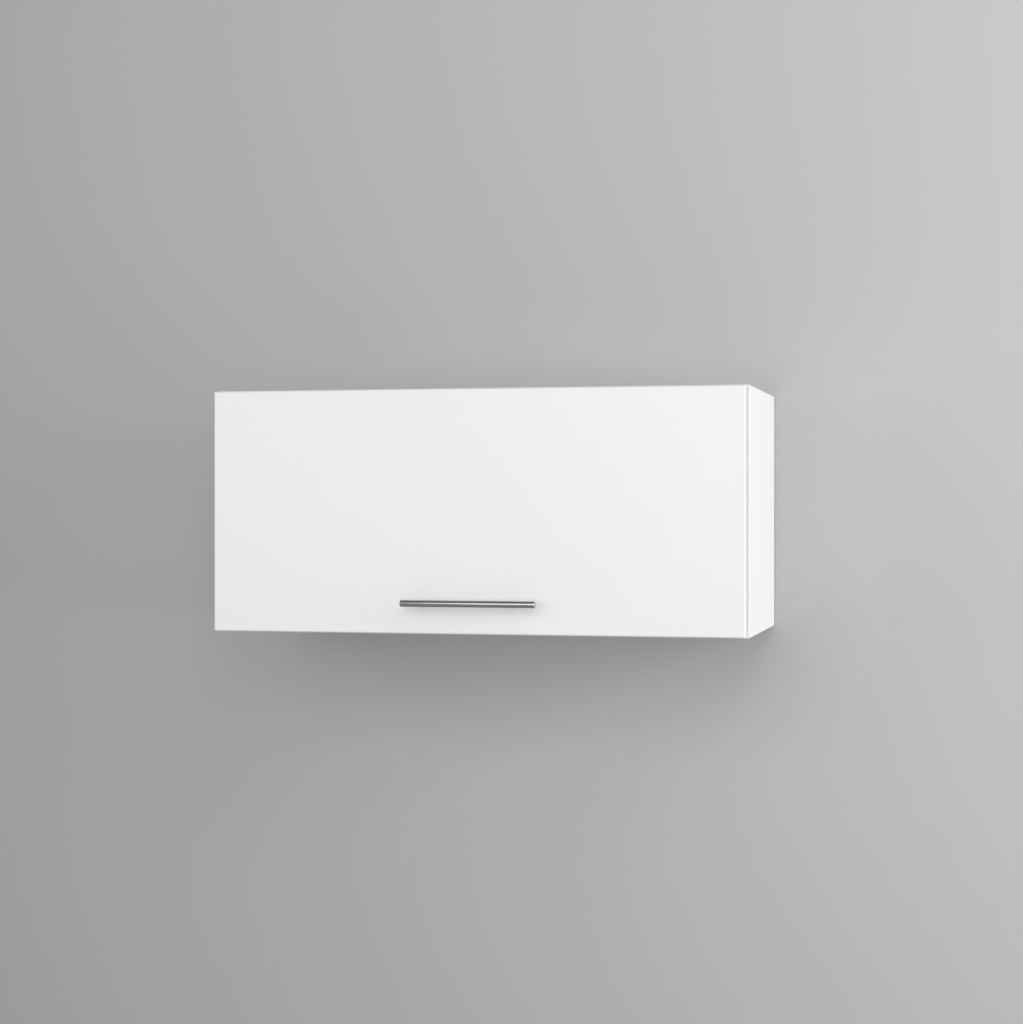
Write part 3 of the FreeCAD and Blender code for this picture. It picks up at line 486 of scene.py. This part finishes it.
def windThread(form, where, look, radius, start, end, point):
    # a closed ridge wound along a shank, fading in at its start and out along the point
    perTurn = winding["perTurn"]
    steps = int(perTurn * (end - start) / look["pitch"])
    rows = []
    for count in range(steps + 1):
        angle = 2 * math.pi * count / perTurn
        depth = start + (end - start) * count / steps
        narrow = min(1, (end + winding["past"] - depth) / point)
        core = radius * look["core"] * narrow * winding["sunk"]
        crest = core + radius * (1 - look["core"]) * min(1, (count + 1) / perTurn) * narrow
        half = look["pitch"] * look["ridge"]
        row = []
        for reach, shift in ((core, -half), (crest, 0), (core, half)):
            row.append(form.verts.new(where @ turned(reach, angle, depth + shift)))
        rows.append(row)
    for before, after in zip(rows, rows[1:]):
        for count in range(3):
            beside = (count + 1) % 3
            form.faces.new([before[count], after[count], after[beside], before[beside]])
    form.faces.new(rows[0])
    form.faces.new(rows[-1][::-1])


def carve(mesh, tools):
    # cuts the tools' shapes out of a mesh, and clears away both
    work = bpy.data.objects.new("carved", mesh)
    cutters = [bpy.data.objects.new("cutter", tool) for tool in tools]
    for thing in [work] + cutters:
        bpy.context.scene.collection.objects.link(thing)
    for cutter in cutters:
        cut = work.modifiers.new("cut", "BOOLEAN")
        cut.operation = "DIFFERENCE"
        cut.solver = "EXACT"
        cut.object = cutter
    graph = bpy.context.evaluated_depsgraph_get()
    result = bpy.data.meshes.new_from_object(work.evaluated_get(graph))
    for thing in [work] + cutters:
        bpy.data.objects.remove(thing)
    for used in [mesh] + tools:
        bpy.data.meshes.remove(used)
    return result


# screws: a crowned head with a cross recess, and a wound thread; shares of each screw's own sizes
crown = [(0.0, 0.0), (0.40, 0.0), (0.68, 0.09), (0.87, 0.30), (0.97, 0.60), (1.0, 0.88), (0.985, 1.0)]
recess = {"length": 1.12, "width": 0.27, "depth": 0.82, "above": 0.2, "floor": 0.42}
screw = {"segments": 28, "rim": 0.98, "shortestFade": 0.001, "turn": 0.7}
threads = {
    "wood": {"core": 0.66, "pitch": 0.0016, "ridge": 0.24, "start": 0.0012, "point": 2.6, "blunt": 0.08},
    "machine": {"core": 0.84, "pitch": 0.0008, "ridge": 0.42, "start": 0.0002, "point": 0.4, "blunt": 0.75},
}
screwSets = {"hinge_cup_screws": "wood", "hinge_plate_screws": "wood", "hinge_arm_screws": "machine",
             "stay_screws": "wood", "stay_adjusters": "machine", "bracket_screws": "wood",
             "hanger_screws": "wood", "hanger_adjusters": "machine", "handle_screws": "machine"}


def recessBar(wide, height, turn):
    # one bar of the cross, narrowing from a little above the head down to its floor
    length, width, depth = wide * recess["length"], wide * recess["width"], height * recess["depth"]
    form = bmesh.new()
    rings = []
    for share, level in ((1.0, -depth * recess["above"]), (recess["floor"], depth)):
        reach, side = length * share / 2, width * (1 + share) / 4
        corners = ((reach, side), (-reach, side), (-reach, -side), (reach, -side))
        rings.append([form.verts.new((x, y, level)) for x, y in corners])
    form.faces.new(rings[0])
    form.faces.new(rings[1][::-1])
    for count in range(4):
        after = (count + 1) % 4
        form.faces.new([rings[0][count], rings[1][count], rings[1][after], rings[0][after]])
    bmesh.ops.rotate(form, verts=form.verts, matrix=Matrix.Rotation(turn, 3, "Z"))
    bmesh.ops.recalc_face_normals(form, faces=form.faces)
    return meshFrom(form, "recess")


def headFirst(points):
    # a screw's two ends with their radii, the wider one first
    first, last = measured(points)
    wide, slim = (ringRadius(points, end, other, forms["endDepth"])
                  for end, other in ((first, last), (last, first)))
    return (last, first, slim, wide) if wide < slim else (first, last, wide, slim)


def screwPattern(points, kind):
    # one screw standing on its head at the origin, made from the sizes of a solid
    look = threads[kind]
    head, tip, wide, radius = headFirst(points)
    line = (tip - head).normalized()
    height = max((point - head).dot(line) for point in points
                 if (point - head).cross(line).length > wide * screw["rim"])
    length = (tip - head).length
    core, point = radius * look["core"], radius * look["point"]
    profile = [(wide * across, height * down) for across, down in crown]
    profile += [(core, height), (core, length - point), (core * look["blunt"], length), (0, length)]
    form = bmesh.new()
    lathe(form, profile, Matrix.Identity(4), screw["segments"])
    bmesh.ops.recalc_face_normals(form, faces=form.faces)
    bars = [recessBar(wide, height, turn) for turn in (0, math.pi / 2)]
    carved = carve(meshFrom(form, "screw"), bars)
    form = bmesh.new()
    form.from_mesh(carved)
    bpy.data.meshes.remove(carved)
    fade = max(point, screw["shortestFade"])
    windThread(form, Matrix.Identity(4), look, radius, height + look["start"], length, fade)
    return meshFrom(form, "screwPattern")


def makeScrews(name, kind):
    solids = solidsOf(name)
    pattern = screwPattern(solids[0], kind)
    form = bmesh.new()
    for count, points in enumerate(solids):
        head, tip = headFirst(points)[:2]
        before = len(form.verts)
        form.from_mesh(pattern)
        form.verts.ensure_lookup_table()
        where = standing(head, tip, screw["turn"] * count)
        bmesh.ops.transform(form, matrix=where, verts=form.verts[before:])
    bpy.data.meshes.remove(pattern)
    addPiece(form, name + "_threaded", [name], slotOf[name])


for name, kind in screwSets.items():
    makeScrews(name, kind)
print("screws made:", len(screwSets), "sets")

# beech dowels: fluted along their length, with eased ends
dowel = {"flutes": 18, "fluteDepth": 0.055, "perFlute": 4, "chamfer": 0.0008, "endShare": 0.80}


def fluted(angle):
    return 1 - dowel["fluteDepth"] * (0.5 - 0.5 * math.cos(dowel["flutes"] * angle)) ** 2


def makeDowels():
    form = bmesh.new()
    for points in solidsOf("wood_dowels"):
        first, last = measured(points)
        length = (last - first).length
        radius = ringRadius(points, first, last, length / 2)
        small, chamfer = radius * dowel["endShare"], dowel["chamfer"]
        profile = [(0, 0), (small, 0), (radius, chamfer)]
        profile += [(radius, length - chamfer), (small, length), (0, length)]
        lathe(form, profile, standing(first, last), dowel["flutes"] * dowel["perFlute"], fluted)
    bmesh.ops.recalc_face_normals(form, faces=form.faces)
    addPiece(form, "wood_dowels_fluted", ["wood_dowels"], "beech")


# connecting bolts: a ball end for the cam, a thin neck, a plain shank, a collar and a coarse thread
camBolt = {"ball": [(0, 0), (0.6, 0), (0.9, 0.0004), (1.0, 0.0012), (0.93, 0.0020)],
           "neck": [(0.57, 0.0026), (0.57, 0.0092)], "shank": (0.83, 0.0102), "collar": 0.0012,
           "thread": 0.011, "margin": 0.0006, "blunt": 0.8, "fade": 0.0012,
           "ridge": {"core": 0.68, "pitch": 0.0022, "ridge": 0.22}}


def makeCamBolts():
    form = bmesh.new()
    ridge, margin = camBolt["ridge"], camBolt["margin"]
    for points in solidsOf("cam_bolts"):
        ends = sorted(measured(points), key=lambda end: abs(end.x))
        length = (ends[1] - ends[0]).length
        radius = ringRadius(points, ends[0], ends[1], length)
        seat = length - camBolt["thread"]
        collar = seat - camBolt["collar"]
        shank, core = radius * camBolt["shank"][0], radius * ridge["core"]
        profile = [(radius * share, depth) for share, depth in camBolt["ball"] + camBolt["neck"]]
        profile += [(shank, camBolt["shank"][1]), (shank, collar), (radius, collar), (radius, seat)]
        profile += [(core, seat), (core, length - margin), (core * camBolt["blunt"], length), (0, length)]
        where = standing(ends[0], ends[1])
        lathe(form, profile, where)
        windThread(form, where, ridge, radius, seat + margin, length - margin, camBolt["fade"])
    addPiece(form, "cam_bolts_threaded", ["cam_bolts"], slotOf["cam_bolts"])


makeDowels()
makeCamBolts()
print("dowels and connecting bolts made")

# the wall and the floor, which aren't part of the cabinet; the wall's colour carries painted light, lighter
# to the right and towards the top
# left and right are (place, level) pairs along X, low and high along Z: a painted light and shade gradient
# on the wall
wall = {"half": 6.0, "offset": 0.0012, "left": (-0.94, 0.406), "right": (0.78, 0.515),
        "low": (-0.62, 0.96), "high": (0.98, 1.04), "roughness": 0.9, "specular": 0.1,
        "grain": (60.0, 3.0), "grainDepth": 0.00005}
floor = {"level": -1.4, "colour": (0.56, 0.56, 0.56, 1), "roughness": 0.8}


def wallFinish():
    # seen from the room only: its rear lets everything through
    finish, tree, shader = newFinish("wallWithPaintedLight")
    where = place(tree)
    # painted light: the wall's colour grows lighter towards the right and towards the top, standing in for
    # how the lamps fall on it
    across = ramp(tree, component(tree, where, "X"), wall["left"], wall["right"])
    paintedLightUpwards = ramp(tree, component(tree, where, "Z"), wall["low"], wall["high"])
    tree.links.new(maths(tree, "MULTIPLY", across, paintedLightUpwards), shader.inputs["Base Color"])
    shader.inputs["Roughness"].default_value = wall["roughness"]
    shader.inputs["Specular IOR Level"].default_value = wall["specular"]
    relief(tree, shader, noise(tree, where, *wall["grain"]), wall["grainDepth"])
    clear = tree.nodes.new("ShaderNodeBsdfTransparent")
    geometry = tree.nodes.new("ShaderNodeNewGeometry")
    either = tree.nodes.new("ShaderNodeMixShader")
    tree.links.new(geometry.outputs["Backfacing"], either.inputs["Fac"])
    tree.links.new(shader.outputs["BSDF"], either.inputs[1])
    tree.links.new(clear.outputs["BSDF"], either.inputs[2])
    tree.links.new(either.outputs["Shader"], tree.get_output_node("ALL").inputs["Surface"])
    return finish


def plane(name, corners, finish):
    mesh = bpy.data.meshes.new(name)
    mesh.from_pydata(corners, [], [range(4)])
    thing = bpy.data.objects.new(name, mesh)
    bpy.context.scene.collection.objects.link(thing)
    mesh.materials.append(finish)
    return thing


def makeStage():
    half, offset, level = wall["half"], wall["offset"], floor["level"]
    back = plane("wall", [(-half, offset, level), (half, offset, level), (half, offset, half),
                          (-half, offset, half)], wallFinish())
    for ray in ("visible_diffuse", "visible_glossy", "visible_shadow", "visible_transmission"):
        setattr(back, ray, False)
    finish, tree, shader = newFinish("paleFloor")
    shader.inputs["Base Color"].default_value = floor["colour"]
    shader.inputs["Roughness"].default_value = floor["roughness"]
    plane("floor", [(-half, -2 * half, level), (half, -2 * half, level), (half, half, level),
                    (-half, half, level)], finish)


makeStage()

# light: a broad lamp far to the right, three weaker soft ones and a plain world
lamps = {
    "right": {"at": (3.6, -0.85, 0.5), "aim": (0.2, -0.2, 0.18), "size": 2.2, "power": 91.0},
    "topRight": {"at": (1.8, -2.6, 2.6), "aim": (0, -0.2, 0.18), "size": 2.4, "power": 20.5},
    "front": {"at": (0.2, -4.2, 0.9), "aim": (0, -0.2, 0.18), "size": 3.0, "power": 65.0},
    "leftFront": {"at": (-2.8, -3.2, 0.9), "aim": (0, -0.2, 0.18), "size": 2.6, "power": 31.0},
}
worldLevel = 0.30


def makeLamp(name):
    look = lamps[name]
    data = bpy.data.lights.new(name, "AREA")
    data.shape = "SQUARE"
    data.size = look["size"]
    data.energy = look["power"]
    lamp = bpy.data.objects.new(name, data)
    lamp.location = look["at"]
    towards = Vector(look["aim"]) - Vector(look["at"])
    lamp.rotation_euler = towards.to_track_quat("-Z", "Y").to_euler()
    bpy.context.scene.collection.objects.link(lamp)


for name in lamps:
    makeLamp(name)
world = bpy.data.worlds.new("studio")
bpy.context.scene.world = world
world.use_nodes = True
background = world.node_tree.nodes["Background"]
background.inputs["Color"].default_value = (1, 1, 1, 1)
background.inputs["Strength"].default_value = worldLevel

# the camera stands level with the middle of the cabinet and to its right; angles in degrees
view = {"at": (0.7501, -3.0630, 0.1874), "turn": 12.221, "down": 0.166, "lens": 68.405, "sensor": 36.0,
        "shift": -0.0669}
cameraData = bpy.data.cameras.new("camera")
cameraData.lens = view["lens"]
cameraData.sensor_fit = "VERTICAL"
cameraData.sensor_height = view["sensor"]
cameraData.shift_x = view["shift"]
camera = bpy.data.objects.new("camera", cameraData)
camera.location = view["at"]
camera.rotation_euler = (math.radians(90 - view["down"]), 0, math.radians(view["turn"]))
bpy.context.scene.collection.objects.link(camera)
bpy.context.scene.camera = camera
bpy.context.scene.view_settings.view_transform = "Standard"
print("stage, lamps and camera in place")
